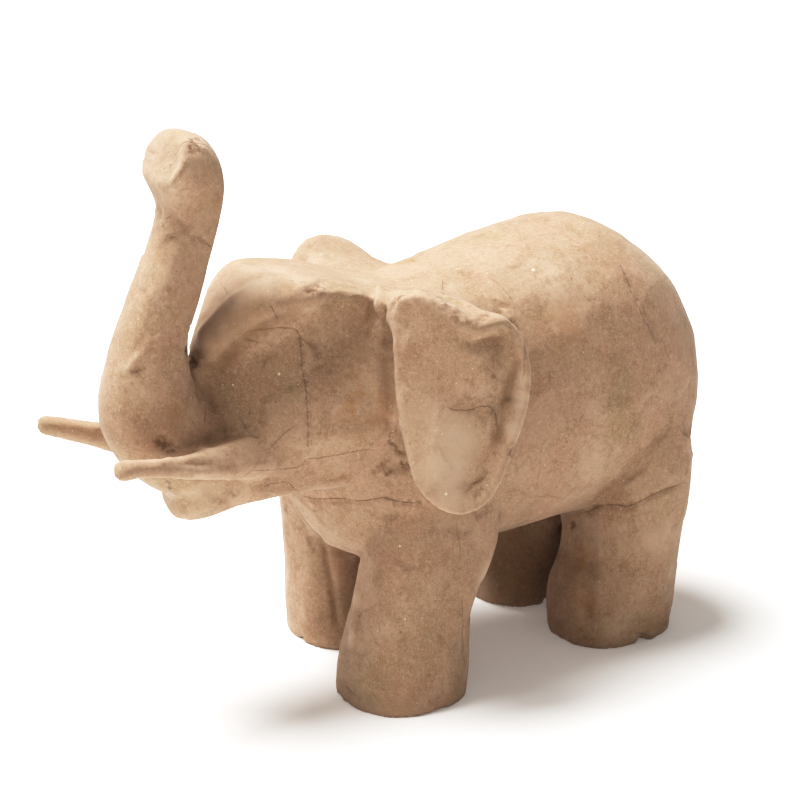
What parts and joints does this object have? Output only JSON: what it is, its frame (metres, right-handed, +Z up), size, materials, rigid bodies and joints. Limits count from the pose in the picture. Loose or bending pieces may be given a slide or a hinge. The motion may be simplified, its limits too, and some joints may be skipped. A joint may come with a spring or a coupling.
{
  "type": "papier mache animal figure",
  "caption": "Hand-papered elephant figure standing on stout legs, trunk raised over its crown, tusks forward and dished ears, bare brown paper.",
  "frame": {"origin": "on the floor plane under the middle of the figure's bounding box", "axes": "+Z up, the elephant faces -Y and its left side is +X"},
  "size_m": [0.125, 0.2414, 0.2],
  "materials": {
    "kraft_paper": "matt unpainted brown recycled paper, mottled, with fine fibres, specks and paper-strip seams"
  },
  "bodies": {
    "root": {"elephant": "kraft_paper"}
  },
  "joints": []
}
